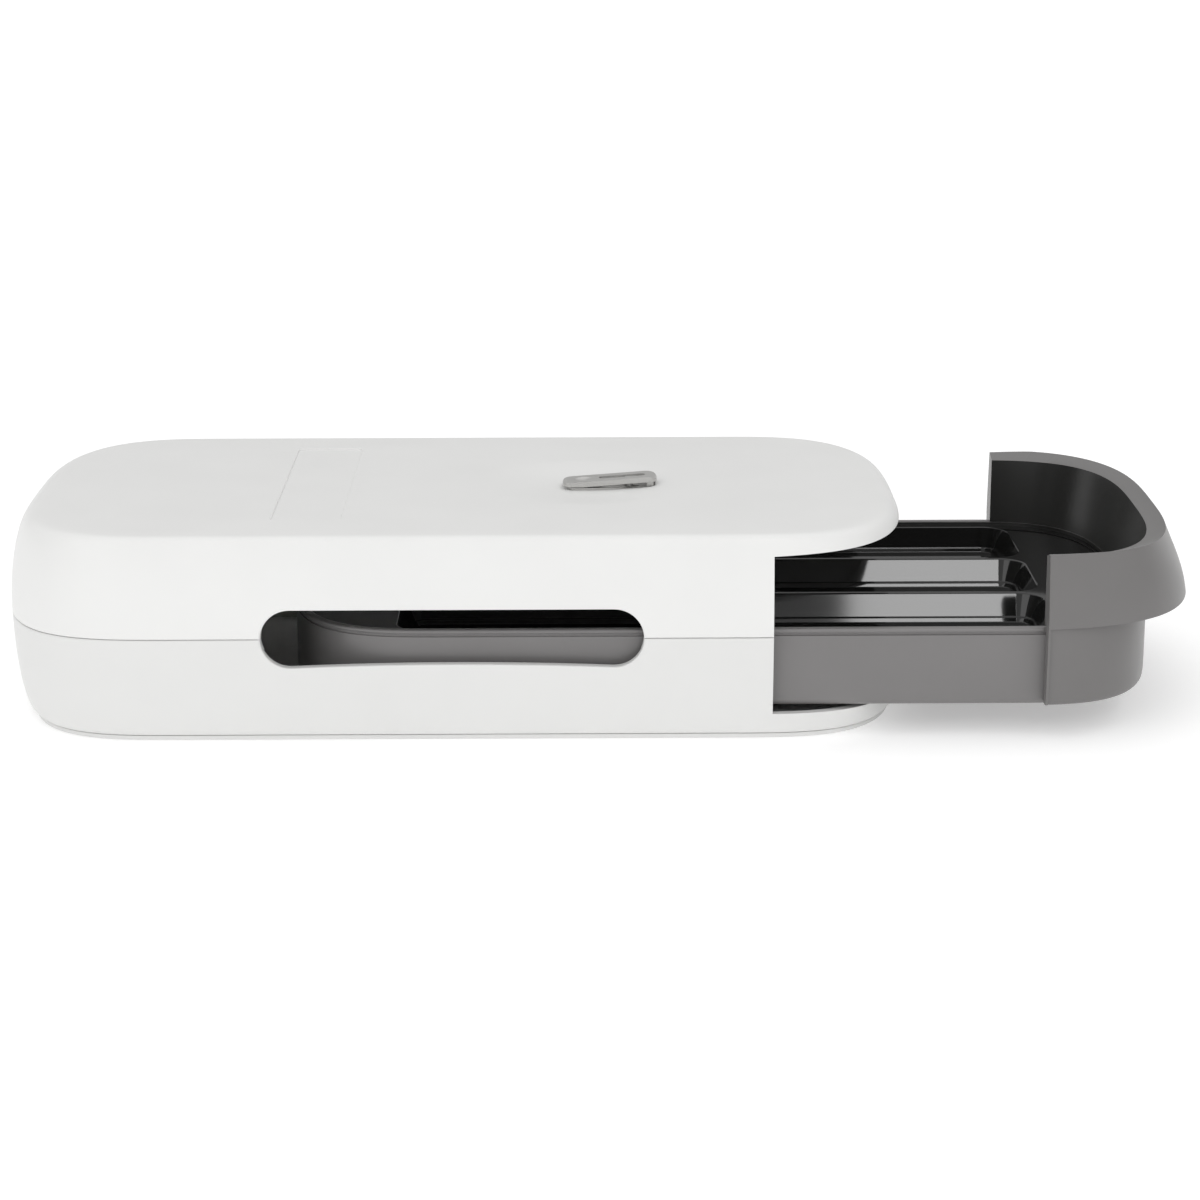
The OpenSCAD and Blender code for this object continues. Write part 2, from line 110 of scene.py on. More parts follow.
def quarter(a, b):
    x = STRAIGHT_X + (a - STRAIGHT_X) * np.cos(END_T).clip(0) ** (2 / END_N)
    y = b * np.sin(END_T).clip(0) ** (2 / END_N)
    x[-1] = STRAIGHT_X
    return np.stack([x, y], 1)


def outline(a_right, b, a_left=None):
    """Closed plan outline, anticlockwise from the right end."""
    right, left = quarter(a_right, b), quarter(a_left or a_right, b)
    side = np.linspace(STRAIGHT_X, -STRAIGHT_X, STRAIGHT_CUTS + 1)[1:-1]
    upper = np.concatenate([right, np.stack([side, np.full_like(side, b)], 1), left[::-1] * [-1, 1]])
    lower = upper[1:-1][::-1] * [1, -1]
    return np.concatenate([upper, lower])


def rounded_rect(l, w, r, x=0.0, y=0.0, steps=12):
    """Closed rounded rectangle, anticlockwise, centred at x, y."""
    angles = np.linspace(0, math.pi / 2, steps + 1)
    corners = []
    for k, (sx, sy) in enumerate([(1, 1), (-1, 1), (-1, -1), (1, -1)]):
        a = angles + k * math.pi / 2
        corners.append(np.stack([x + sx * (l / 2 - r) + r * np.cos(a),
                                 y + sy * (w / 2 - r) + r * np.sin(a)], 1))
    return np.concatenate(corners)


def circle(r, x=0.0, y=0.0, steps=64):
    a = np.arange(steps) * 2 * math.pi / steps
    return np.stack([x + r * np.cos(a), y + r * np.sin(a)], 1)


def at_z(plan, z):
    return np.column_stack([plan, np.full(len(plan), float(z))])


def softened(levels, rounds=3):
    """Cuts the corners of a list of levels again and again, so that a skin through them is smooth."""
    p = np.array(levels, float)
    for _ in range(rounds):
        inner = np.empty((2 * (len(p) - 1), p.shape[1]))
        inner[0::2] = 0.75 * p[:-1] + 0.25 * p[1:]
        inner[1::2] = 0.25 * p[:-1] + 0.75 * p[1:]
        p = np.concatenate([p[:1], inner[1:-1], p[-1:]])
    return p


def shell_rings(levels, half_l=None, half_w=None, a_left=None):
    half_l = half_l or HALF_L
    half_w = half_w or HALF_W
    return [at_z(outline(half_l - e, half_w - s, None if a_left is None else a_left - e), z)
            for z, e, s in levels]


# ---------------------------------------------------------------- mesh tools
def new_object(name, verts, faces):
    mesh = bpy.data.meshes.new(name)
    mesh.from_pydata([tuple(v) for v in verts], [], faces)
    mesh.update()
    obj = bpy.data.objects.new(name, mesh)
    bpy.context.scene.collection.objects.link(obj)
    return obj


def loft(name, rings, point_end=False):
    """Closed solid through rings that all have the same number of points, going up."""
    n, k = len(rings[0]), len(rings)
    verts = list(np.concatenate(rings))
    faces = [tuple(range(n))[::-1]]
    for j in range(k - 1):
        a, b = j * n, (j + 1) * n
        faces += [(a + i, a + (i + 1) % n, b + (i + 1) % n, b + i) for i in range(n)]
    last = (k - 1) * n
    if point_end:
        verts.append(rings[-1].mean(0))
        faces += [(last + i, last + (i + 1) % n, k * n) for i in range(n)]
    else:
        faces.append(tuple(last + i for i in range(n)))
    return new_object(name, verts, faces)


def prism(name, plan, z0, z1):
    return loft(name, [at_z(plan, z0), at_z(plan, z1)])


def turned_y(obj):
    """Turns a solid drawn on x, z and standing along its third axis so that it lies along y."""
    obj.data.transform(Matrix(((1, 0, 0, 0), (0, 0, -1, 0), (0, 1, 0, 0), (0, 0, 0, 1))))
    return obj


def across(name, side_xz, y0, y1):
    """Prism of a side view, from y0 to y1."""
    return turned_y(prism(name, np.array(side_xz, float), -y1, -y0))


def block(name, low, high):
    plan = np.array([[low[0], low[1]], [high[0], low[1]], [high[0], high[1]], [low[0], high[1]]], float)
    return prism(name, plan, low[2], high[2])


def baked(obj):
    """Applies an object's modifiers."""
    graph = bpy.context.evaluated_depsgraph_get()
    mesh = bpy.data.meshes.new_from_object(obj.evaluated_get(graph))
    obj.modifiers.clear()
    obj.data = mesh
    return obj


def combine(obj, others, operation="DIFFERENCE"):
    for other in others:
        step = obj.modifiers.new("combine", "BOOLEAN")
        step.operation = operation
        step.object = other
        step.solver = "MANIFOLD"
    baked(obj)
    for other in others:
        bpy.data.objects.remove(other)
    return obj


def rounded(obj, width, segments=3, angle=40.0):
    step = obj.modifiers.new("round", "BEVEL")
    step.width = width
    step.segments = segments
    step.limit_method = "ANGLE"
    step.angle_limit = math.radians(angle)
    step.use_clamp_overlap = True
    return baked(obj)


def finish_piece(obj, body, replaced, material, sharp=32.0, inside=None):
    """Cleans a mesh, shades it, turns it into metres and puts it on its body."""
    bm = bmesh.new()
    bm.from_mesh(obj.data)
    bmesh.ops.remove_doubles(bm, verts=bm.verts, dist=0.002)
    bmesh.ops.dissolve_degenerate(bm, edges=bm.edges, dist=0.001)
    bmesh.ops.recalc_face_normals(bm, faces=bm.faces)
    bm.to_mesh(obj.data)
    bm.free()
    mesh = obj.data
    mesh.polygons.foreach_set("use_smooth", [True] * len(mesh.polygons))
    mesh.set_sharp_from_angle(angle=math.radians(sharp))
    mesh.transform(Matrix.Scale(MM, 4))
    mesh.materials.clear()
    mesh.materials.append(material)
    # The faces picked by is_inside get a second, near-black material: painted shade on inner walls.
    if inside:
        painted_shade_material, is_inside = inside
        mesh.materials.append(painted_shade_material)
        for face in mesh.polygons:
            if is_inside(face.center / MM, face.normal):
                face.material_index = 1
    weighted = obj.modifiers.new("normals", "WEIGHTED_NORMAL")
    weighted.keep_sharp = True
    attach(obj, body)
    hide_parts(*replaced)
    return obj


def shifted(obj, x=0.0, y=0.0, z=0.0):
    obj.data.transform(Matrix.Translation((x, y, z)))
    return obj


# ---------------------------------------------------------------- materials
def plastic(name, colour, spread, roughness, grain_scale, grain_depth, coat=0.0, ior=1.49, specular=0.5):
    """Moulded plastic: faint cloudy colour, uneven gloss and a fine spark-eroded grain."""
    mat = bpy.data.materials.new(name)
    mat.use_nodes = True
    tree = mat.node_tree
    shader = tree.nodes["Principled BSDF"]
    shader.inputs["IOR"].default_value = ior
    shader.inputs["Coat Weight"].default_value = coat
    shader.inputs["Coat Roughness"].default_value = 0.08
    shader.inputs["Specular IOR Level"].default_value = specular
    place = tree.nodes.new("ShaderNodeTexCoord")

    clouds = tree.nodes.new("ShaderNodeTexNoise")
    clouds.inputs["Scale"].default_value = 28.0
    clouds.inputs["Detail"].default_value = 4.0
    tree.links.new(place.outputs["Object"], clouds.inputs["Vector"])
    tint = tree.nodes.new("ShaderNodeValToRGB")
    tint.color_ramp.elements[0].position = 0.3
    tint.color_ramp.elements[1].position = 0.7
    tint.color_ramp.elements[0].color = (*[c * (1 - spread) for c in colour], 1)
    tint.color_ramp.elements[1].color = (*[min(1.0, c * (1 + spread)) for c in colour], 1)
    tree.links.new(clouds.outputs["Fac"], tint.inputs["Fac"])
    tree.links.new(tint.outputs["Color"], shader.inputs["Base Color"])

    smears = tree.nodes.new("ShaderNodeTexNoise")
    smears.inputs["Scale"].default_value = 90.0
    smears.inputs["Detail"].default_value = 6.0
    tree.links.new(place.outputs["Object"], smears.inputs["Vector"])
    gloss = tree.nodes.new("ShaderNodeMapRange")
    gloss.inputs["To Min"].default_value = roughness * 0.88
    gloss.inputs["To Max"].default_value = roughness * 1.12
    tree.links.new(smears.outputs["Fac"], gloss.inputs["Value"])
    tree.links.new(gloss.outputs["Result"], shader.inputs["Roughness"])

    grain = tree.nodes.new("ShaderNodeTexNoise")
    grain.inputs["Scale"].default_value = grain_scale
    grain.inputs["Detail"].default_value = 3.0
    tree.links.new(place.outputs["Object"], grain.inputs["Vector"])
    bump = tree.nodes.new("ShaderNodeBump")
    bump.inputs["Strength"].default_value = 1.0
    bump.inputs["Distance"].default_value = grain_depth
    tree.links.new(grain.outputs["Fac"], bump.inputs["Height"])
    tree.links.new(bump.outputs["Normal"], shader.inputs["Normal"])
    return mat


def metal(name, colour, roughness, stretch, grain_depth=4e-6):
    """Brushed or drawn metal: grain stretched along one axis."""
    mat = bpy.data.materials.new(name)
    mat.use_nodes = True
    tree = mat.node_tree
    shader = tree.nodes["Principled BSDF"]
    shader.inputs["Metallic"].default_value = 1.0
    place = tree.nodes.new("ShaderNodeTexCoord")
    pull = tree.nodes.new("ShaderNodeMapping")
    pull.inputs["Scale"].default_value = stretch
    tree.links.new(place.outputs["Object"], pull.inputs["Vector"])
    lines = tree.nodes.new("ShaderNodeTexNoise")
    lines.inputs["Scale"].default_value = 1.0
    lines.inputs["Detail"].default_value = 5.0
    tree.links.new(pull.outputs["Vector"], lines.inputs["Vector"])
    tint = tree.nodes.new("ShaderNodeValToRGB")
    tint.color_ramp.elements[0].color = (*[c * 0.86 for c in colour], 1)
    tint.color_ramp.elements[1].color = (*[min(1.0, c * 1.1) for c in colour], 1)
    tree.links.new(lines.outputs["Fac"], tint.inputs["Fac"])
    tree.links.new(tint.outputs["Color"], shader.inputs["Base Color"])
    gloss = tree.nodes.new("ShaderNodeMapRange")
    gloss.inputs["To Min"].default_value = roughness * 0.8
    gloss.inputs["To Max"].default_value = roughness * 1.25
    tree.links.new(lines.outputs["Fac"], gloss.inputs["Value"])
    tree.links.new(gloss.outputs["Result"], shader.inputs["Roughness"])
    bump = tree.nodes.new("ShaderNodeBump")
    bump.inputs["Strength"].default_value = 1.0
    bump.inputs["Distance"].default_value = grain_depth
    tree.links.new(lines.outputs["Fac"], bump.inputs["Height"])
    tree.links.new(bump.outputs["Normal"], shader.inputs["Normal"])
    return mat


white = plastic("white_satin", (0.805, 0.805, 0.795), 0.012, 0.42, 1600.0, 6e-6)
# Darker copy of the white plastic for the lower shell and base plate: painted shade for the lower walls,
# which get less light.
white_lower_painted_shade = plastic("white_lower_painted_shade", (0.745, 0.745, 0.735), 0.012, 0.45, 1600.0, 6e-6)
grey_satin = plastic("grey_satin", (0.175, 0.170, 0.168), 0.03, 0.36, 1500.0, 7e-6, specular=0.35)
grey_tub = plastic("grey_tub", (0.190, 0.184, 0.183), 0.03, 0.30, 1500.0, 4e-6)
dark_gloss = plastic("dark_gloss", (0.010, 0.010, 0.0097), 0.06, 0.06, 700.0, 4e-7, ior=1.52)
# Near-black material laid on the inner walls of the tub and drawer front: painted shade, not a separate
# liner.
inner_wall_painted_shade = plastic("inner_wall_painted_shade", (0.022, 0.022, 0.021), 0.06, 0.30, 1200.0, 3e-6)
slippery = plastic("slippery_white", (0.72, 0.72, 0.69), 0.03, 0.30, 500.0, 4e-6)
rubber = plastic("dark_rubber", (0.045, 0.045, 0.047), 0.15, 0.75, 1100.0, 2e-5)
lever_metal = metal("lever_nickel", (0.58, 0.575, 0.56), 0.46, (60.0, 2400.0, 2400.0))
steel = metal("zinc_steel", (0.60, 0.60, 0.61), 0.28, (500.0, 500.0, 500.0))
spring_steel = metal("spring_steel", (0.46, 0.47, 0.50), 0.24, (1400.0, 160.0, 1400.0))


# ---------------------------------------------------------------- case levels
# Each is (height, inset at the ends, inset at the sides).
BASE_GAP_Z = 1.9
LOWER_LEVELS = [(BASE_GAP_Z, 5.6, 4.6), (3, 4.4, 3.5), (5, 3.4, 2.7), (9, 2.3, 1.8), (14, 1.4, 1.1),
                (24, 0.4, 0.3),
                (SEAM_Z - 1.0, 0.03, 0.03), (SEAM_Z - 0.35, 0.04, 0.04), (SEAM_Z - SEAM_HALF, 0.35, 0.35)]
UPPER_LEVELS = [(SEAM_Z + SEAM_HALF, 0.35, 0.35), (SEAM_Z + 0.35, 0.04, 0.04), (SEAM_Z + 1.0, 0.02, 0.02),
                (42, 0.1, 0.15), (50, 0.9, 0.8), (56, 2.0, 1.6), (60, 3.1, 2.3), (63, 4.2, 2.9),
                (CASE_H - 3, 5.4, 3.4), (CASE_H - 1.8, 6.6, 3.8), (CASE_H - 1, 8.2, 4.3),
                (CASE_H - 0.5, 10.5, 5.0), (CASE_H - 0.2, 15, 6.6), (CASE_H, 30, 24)]
CEILING_Z = CASE_H - 3
FLOOR_TOP_Z = 6.0
CAVITY_UPPER = [(SEAM_Z - 1, WALL, WALL), (42, 2.7, 2.75), (50, 3.5, 3.4), (56, 4.6, 4.2), (60, 5.7, 4.9),
                (63, 6.8, 5.5), (CEILING_Z, 8, 6.1)]
CAVITY_LOWER = [(FLOOR_TOP_Z, 6.2, 5.6), (9, 4.9, 4.4), (14, 4.0, 3.7), (24, 3.0, 2.9),
                (SEAM_Z + 1, WALL, WALL)]

MOUTH_X = 101.0
MOUTH_LOW = 9.0
MOUTH_HIGH = 61.0
MOUTH_RISE = 2.6
FAR = 200.0


def mouth_cutter():
    side = [(MOUTH_X, MOUTH_LOW), (FAR, MOUTH_LOW), (FAR, MOUTH_HIGH + MOUTH_RISE * 2.5),
            (MOUTH_X + 60, MOUTH_HIGH + MOUTH_RISE), (MOUTH_X, MOUTH_HIGH)]
    return across("mouth", side, -FAR, FAR)


WINDOW_X = -1.3
WINDOW_HALF = 51.5
WINDOW_R = 9.5
WINDOW_BOW = 1.1
WINDOW_EDGE = 0.6


def window_outline(grow):
    """Racetrack on x, z whose lower edge bows up in the middle."""
    r = WINDOW_R + grow
    angles = np.linspace(-math.pi / 2, math.pi / 2, 33)
    right = np.stack([WINDOW_X + WINDOW_HALF + r * np.cos(angles), SEAM_Z + r * np.sin(angles)], 1)
    left = np.stack([WINDOW_X - WINDOW_HALF - r * np.cos(angles[::-1]), SEAM_Z + r * np.sin(angles[::-1])], 1)
    u = np.linspace(-1, 1, 31)[1:-1]
    bow = np.stack([WINDOW_X + WINDOW_HALF * u, SEAM_Z - r + WINDOW_BOW * (1 - u * u)], 1)
    return np.concatenate([right, left, bow])


def window_cutter(side):
    """Window through one long wall, its outer edges rounded. side is -1 at the front, +1 at the rear."""
    wall_y = HALF_W - 0.15
    steps = [(wall_y + 6, WINDOW_EDGE)]
    for a in np.linspace(0, math.pi / 2, 6):
        steps.append((wall_y - WINDOW_EDGE * (1 - math.cos(a)), WINDOW_EDGE * (1 - math.sin(a))))
    steps.append((wall_y - 14, 0.0))
    rings = [at_z(window_outline(grow), side * -y) for y, grow in steps]
    if side > 0:
        return turned_y(loft("window", rings))
    return turned_y(loft("window", rings[::-1]))


# ---------------------------------------------------------------- upper shell
DISH_X = 40.0
DISH_R = (34.0, 33.0)
DISH_DEPTH = 1.95
CAP_RINGS = 56
LEVER_X = (lever_low[0] + lever_high[0]) / 2
HINGE_X = (pin_low[0] + pin_high[0]) / 2
HINGE_Z = (pin_low[2] + pin_high[2]) / 2
PLUNGER_X = HINGE_X - 7
LEAF_BOTTOM = leaf_low[2]
BUSH_R = 3.2
RIVET_XS = (LEVER_X - 10, LEVER_X - 2)
RIVET_R = 1.1
PANEL = {"x": -49.2, "l": 22.5, "w": 104.0, "depth": 0.5, "r": 2.0, "edge": 0.3}


def dished(ring):
    """Lowers the points of a ring on the top face into the round dish."""
    u2 = ((ring[:, 0] - DISH_X) / DISH_R[0]) ** 2 + (ring[:, 1] / DISH_R[1]) ** 2
    out = ring.copy()
    out[:, 2] -= DISH_DEPTH * np.clip(1 - u2, 0, 1) ** 1.5
    return out


def panel_cutter():
    p = PANEL
    floor_z = CASE_H - p["depth"]
    steps = [(floor_z, 0.0)]
    for a in np.linspace(0, math.pi / 2, 5):
        steps.append((CASE_H - p["edge"] * (1 - math.sin(a)), p["edge"] * (1 - math.cos(a))))
    steps.append((CASE_H + 2, p["edge"]))
    rings = [at_z(rounded_rect(p["l"] + 2 * g, p["w"] + 2 * g, p["r"] + g, p["x"]), z) for z, g in steps]
    return loft("panel", rings)


def top_shell():
    levels = softened(UPPER_LEVELS)
    rings = shell_rings(levels)
    edge = rings[-1]
    shrink = np.linspace(1, 0, CAP_RINGS + 1)[1:-1]
    rings += [dished(edge * [s, s, 1]) for s in shrink]
    shell = loft("top_shell_skin", rings, point_end=True)
    mesh = shell.data
    tip = mesh.vertices[len(mesh.vertices) - 1]
    tip.co.z = dished(np.array([[0.0, 0.0, CASE_H]]))[0][2]
    combine(shell, [loft("cavity", shell_rings(softened(CAVITY_UPPER, 2)))])
    boss = prism("boss", circle(BUSH_R + 1.8, PLUNGER_X), CEILING_Z - 7, CEILING_Z + 1)
    pad = prism("pad", rounded_rect(74, 72, 22, DISH_X), CEILING_Z - 2.2, CEILING_Z + 0.5)
    combine(shell, [pad, boss], "UNION")
    seat = prism("seat", rounded_rect(leaf_high[0] - leaf_low[0] + 0.6, 9.6, 2.7,
                                      (leaf_low[0] + leaf_high[0]) / 2),
                 LEAF_BOTTOM, CASE_H + 3)
    holes = [prism("rivet", circle(RIVET_R, x, steps=32), CEILING_Z - 4, CASE_H + 3) for x in RIVET_XS]
    bush = prism("bush", circle(BUSH_R, PLUNGER_X), CEILING_Z - 8, CASE_H + 3)
    combine(shell, [mouth_cutter(), window_cutter(-1), window_cutter(1), panel_cutter(), seat, bush, *holes])
    return finish_piece(shell, "case", ["top_shell"], white)


# ---------------------------------------------------------------- lower shell and base plate
PLUG_INSET = 10.5
PLUG_Z = 3.5
SCREW_PLACES = [(x, y) for x in (-104, 0, 92) for y in (-40, 40)]
PAD_PLACES = [(x, y) for x in (-108, 100) for y in (-52, 52)]
PAD_L, PAD_W, PAD_R = 26.0, 10.0, 4.9


def bottom_shell():
    shell = loft("bottom_shell_skin", shell_rings(softened(LOWER_LEVELS)))
    combine(shell, [loft("cavity", shell_rings(softened(CAVITY_LOWER, 2)))])
    lip = prism("lip", outline(HALF_L - WALL - 0.1, HALF_W - WALL - 0.1), SEAM_Z - 4, SEAM_Z + 2)
    hollow = prism("lip_hollow", outline(HALF_L - WALL - 1.3, HALF_W - WALL - 1.3), SEAM_Z - 5, SEAM_Z + 3)
    end_cut = block("lip_end", (MOUTH_X - 2, -FAR, 0), (FAR, FAR, CASE_H))
    combine(lip, [hollow, end_cut])
    bosses = [prism("boss", circle(3.4, x, y, 40), FLOOR_TOP_Z - 1, FLOOR_TOP_Z + 3.2)
              for x, y in SCREW_PLACES]
    combine(shell, [lip, *bosses], "UNION")
    recess = prism("recess", outline(HALF_L - PLUG_INSET + 0.3, HALF_W - PLUG_INSET + 0.3), 0, PLUG_Z)
    holes = [prism("screw", circle(1.2, x, y, 32), 0, FLOOR_TOP_Z + 2.2) for x, y in SCREW_PLACES]
    combine(shell, [mouth_cutter(), window_cutter(-1), window_cutter(1), recess, *holes])
    return finish_piece(shell, "case", ["bottom_shell"], white_lower_painted_shade)


def base_plate():
    edge = [(0, 6.5, 5.5), (0.15, 6.1, 5.1), (0.5, 6, 5), (1.2, 6, 5), (1.5, 6.1, 5.1), (1.6, 6.5, 5.5)]
    plate = loft("base_plate_skin", shell_rings(edge))
    plug = prism("plug", outline(HALF_L - PLUG_INSET, HALF_W - PLUG_INSET), 1.5, PLUG_Z - 0.3)
    combine(plate, [plug], "UNION")
    cutters = []
    for x, y in SCREW_PLACES:
        cutters.append(prism("hole", circle(1.5, x, y, 40), -1, 6))
        cutters.append(prism("sink", circle(2.8, x, y, 48), -1.5, 1.5))
    cutters += [prism("pad_seat", rounded_rect(PAD_L, PAD_W, PAD_R, x, y), -1, 1) for x, y in PAD_PLACES]
    combine(plate, cutters)
    return finish_piece(plate, "case", ["base_plate"], white_lower_painted_shade)


# ---------------------------------------------------------------- drawer
TUB_LOW = 10.5
TUB_HIGH = 36.4
TUB_LEFT = HALF_L - 7
TUB_RIGHT = HALF_L - 11.6
TUB_B = HALF_W - 6
TUB_WALL = 2.2
LEDGE = 1.4
LAND_Z = 34.8
LEDGE_Z = LAND_Z - 1.6
BEAD = 0.7
FRONT_SCREWS = [(y, z) for y in (-18, 18) for z in (17, 27)]


def along_x(name, r, x0, x1, y, z, steps=40):
    """Cylinder along x."""
    rod = prism(name, circle(r, steps=steps), x0, x1)
    rod.data.transform(Matrix(((0, 0, 1, 0), (1, 0, 0, y), (0, 1, 0, z), (0, 0, 0, 1))))
    return rod


def faces_inwards(centre, normal):
    """True for a steep face that looks towards the drawer's middle; these faces get a near-black material as
    painted shade.
    """
    near = min(max(centre.x, DRAWER_OUT - STRAIGHT_X), DRAWER_OUT + STRAIGHT_X)
    outward = Vector((centre.x - near, centre.y, 0)).normalized()
    return normal.z < 0.3 and normal.dot(outward) < -0.4


def drawer_tub():
    foot = [(TUB_LOW, 2.2), (TUB_LOW + 0.1, 1.5), (TUB_LOW + 0.5, 0.7), (TUB_LOW + 1.2, 0.2),
            (TUB_LOW + 2.2, 0),
            (20, 0), (30, 0), (TUB_HIGH - 2.5, 0), (TUB_HIGH - 2.3, 0.5), (TUB_HIGH - 1.75, 0.5),
            (TUB_HIGH - 1.55, 0), (TUB_HIGH - 0.5, 0), (TUB_HIGH - 0.12, 0.12), (TUB_HIGH, 0.5)]
    tub = loft("tub_skin", [at_z(outline(TUB_RIGHT - i, TUB_B - i, TUB_LEFT - i), z) for z, i in foot])
    profile = []
    for a in np.linspace(-90, 90, 9):
        profile.append((TUB_HIGH - 0.75 + 0.75 * math.sin(math.radians(a)),
                        BEAD * math.cos(math.radians(a)) - 0.15))
    bead = loft("bead", [at_z(outline(TUB_RIGHT, TUB_B + g, TUB_LEFT + g), z) for z, g in profile])
    combine(bead, [block("bead_end", (MOUTH_X - 0.4, -FAR, 0), (FAR, FAR, CASE_H))])
    combine(tub, [bead], "UNION")
    deep = TUB_WALL + LEDGE
    hollow = loft("hollow", [at_z(outline(TUB_RIGHT - deep - i, TUB_B - deep - i, TUB_LEFT - deep - i), z)
                             for z, i in ((TUB_LOW + 2, 1.5), (TUB_LOW + 2.5, 0.5), (TUB_LOW + 3.5, 0),
                                          (LEDGE_Z + 1, 0))])
    rim = [(LEDGE_Z, TUB_WALL), (TUB_HIGH - 0.5, TUB_WALL), (TUB_HIGH - 0.12, TUB_WALL - 0.12),
           (TUB_HIGH + 0.02, TUB_WALL - 0.5), (TUB_HIGH + 3, TUB_WALL - 0.5)]
    upper = loft("upper", [at_z(outline(TUB_RIGHT - i, TUB_B - i, TUB_LEFT - i), z) for z, i in rim])
    groove = across("groove", [(-14.4, 9.5), (-9.6, 9.5), (-10.8, TUB_LOW + 0.7), (-13.2, TUB_LOW + 0.7)],
                    -6.5, 6.5)
    screws = [along_x("screw", 1.5, TUB_RIGHT - 8, TUB_RIGHT + 2, y, z) for y, z in FRONT_SCREWS]
    sinks = [along_x("sink", 2.9, TUB_RIGHT - 10, TUB_RIGHT - 3.9, y, z) for y, z in FRONT_SCREWS]
    combine(tub, [hollow, upper, groove, *screws, *sinks])
    shifted(tub, DRAWER_OUT)
    # The tub's inner walls above the ledge get the near-black material: painted shade.
    return finish_piece(tub, "drawer", ["drawer_tub"], grey_tub,
                        inside=(inner_wall_painted_shade, lambda c, n: c.z > LEDGE_Z and faces_inwards(c, n)))


LANE_L = 214.0
LANE_W = 42.1
LANE_PITCH = 44.2
LANE_R = 9.0
LANE_DEPTH = 9.0
LANE_TAPER = 3.8
LANE_FOOT = 0.4
LANE_LIP = 0.7
RISER_H = 1.5
RISER_LEDGE = 0.8
INSERT_T = 1.6
INSERT_B = TUB_B - TUB_WALL - 1.8
OUTER_EXTRA = INSERT_B - 1.2 - LANE_PITCH - LANE_W / 2


def lane_profile():
    """Side of a lane as (height, inset) pairs: floor, riser with a ledge, sloping wall, rounded lip."""
    floor_z = LAND_Z - LANE_DEPTH
    slope = math.atan2(LANE_TAPER, LANE_DEPTH)
    turn = math.pi / 2 - slope
    pairs = []
    for a in np.linspace(0, turn, 9):
        drop = LANE_FOOT * (1 - math.cos(a))
        pairs.append((floor_z + drop,
                      LANE_TAPER + RISER_LEDGE + LANE_FOOT * (math.tan(turn / 2) - math.sin(a))))
    wall = LANE_TAPER * (1 - RISER_H / LANE_DEPTH)
    pairs += [(floor_z + RISER_H - 0.2, wall + RISER_LEDGE + 0.08),
              (floor_z + RISER_H - 0.03, wall + RISER_LEDGE - 0.1),
              (floor_z + RISER_H, wall + 0.5 * RISER_LEDGE), (floor_z + RISER_H + 0.06, wall + 0.12),
              (floor_z + RISER_H + 0.25, wall - 0.1)]
    for a in np.linspace(turn, 0, 9):
        rise = LANE_LIP * (1 - math.cos(a))
        pairs.append((LAND_Z - rise, -LANE_LIP * (math.tan(turn / 2) - math.sin(a))))
    pairs.append((LAND_Z + 4, pairs[-1][1]))
    return pairs


def lane_cutter(middle, upright=0):
    """One lane. upright is -1 or 1 for an outer lane, whose outer wall stands upright and further out."""
    rings = []
    for z, inset in lane_profile():
        plan = rounded_rect(LANE_L - 2 * inset, LANE_W - 2 * inset, LANE_R - inset, 0, middle, 20)
        outer = (plan[:, 1] - middle) * upright > 0
        wall_inset = inset if inset < 0 else min(inset, 0.06 * inset * inset)
        plan[outer, 1] += upright * (OUTER_EXTRA + inset - wall_inset)
        rings.append(at_z(plan, z))
    return loft("lane", rings)


def lane_insert():
    i = TUB_WALL + 0.15
    plate = prism("insert", outline(TUB_RIGHT - i, TUB_B - i, TUB_LEFT - i), LEDGE_Z + 0.02, LAND_Z)
    body = prism("lanes", rounded_rect(LANE_L + 2 * INSERT_T, 2 * INSERT_B, 10),
                 LAND_Z - LANE_DEPTH - INSERT_T, LEDGE_Z + 0.5)
    combine(plate, [body], "UNION")
    combine(plate, [lane_cutter(k * LANE_PITCH, k) for k in (-1, 0, 1)])
    shifted(plate, DRAWER_OUT)
    return finish_piece(plate, "drawer", ["lane_insert"], dark_gloss)


FRONT_LOW = 11.3
LIP_Z = TUB_HIGH + 0.8
FRONT_TOP = MOUTH_HIGH - 0.2
FRONT_GAP = 0.4
RIB = 0.45
BAND_LEVELS = [(FRONT_LOW, 10.9, 3.2), (FRONT_LOW + 0.15, 10.1, 2.4), (FRONT_LOW + 0.6, 9.5, 1.7),
               (FRONT_LOW + 1.6, 9.0, 1.15), (FRONT_LOW + 4, 8.9, 1.0), (30, 8.9, 0.7), (LIP_Z + 4, 8.9, 0.6)]
LIP_LEVELS = [(LIP_Z - 0.5, -3.6, 0.35), (LIP_Z, -4.0, 0.1), (LIP_Z + 0.9, -4.6, -0.05),
              (LIP_Z + 2.6, -4.4, 0.0),
              (44, -3.6, 0.4), (50, -1.5, 1.1), (56, 1.2, 1.9), (64, 4.6, 3.1)]
LIP_INSIDE = [(LIP_Z - 1, 14.2, 9.1), (FRONT_TOP + 4, 7.8, 9.1)]


def front_cut(low, rise_low, high, rise_high):
    x0, x1 = MOUTH_X + FRONT_GAP, MOUTH_X + 60
    return across("front_cut", [(x0, low), (x1, low + rise_low), (x1, high + rise_high), (x0, high)],
                  -FAR, FAR)


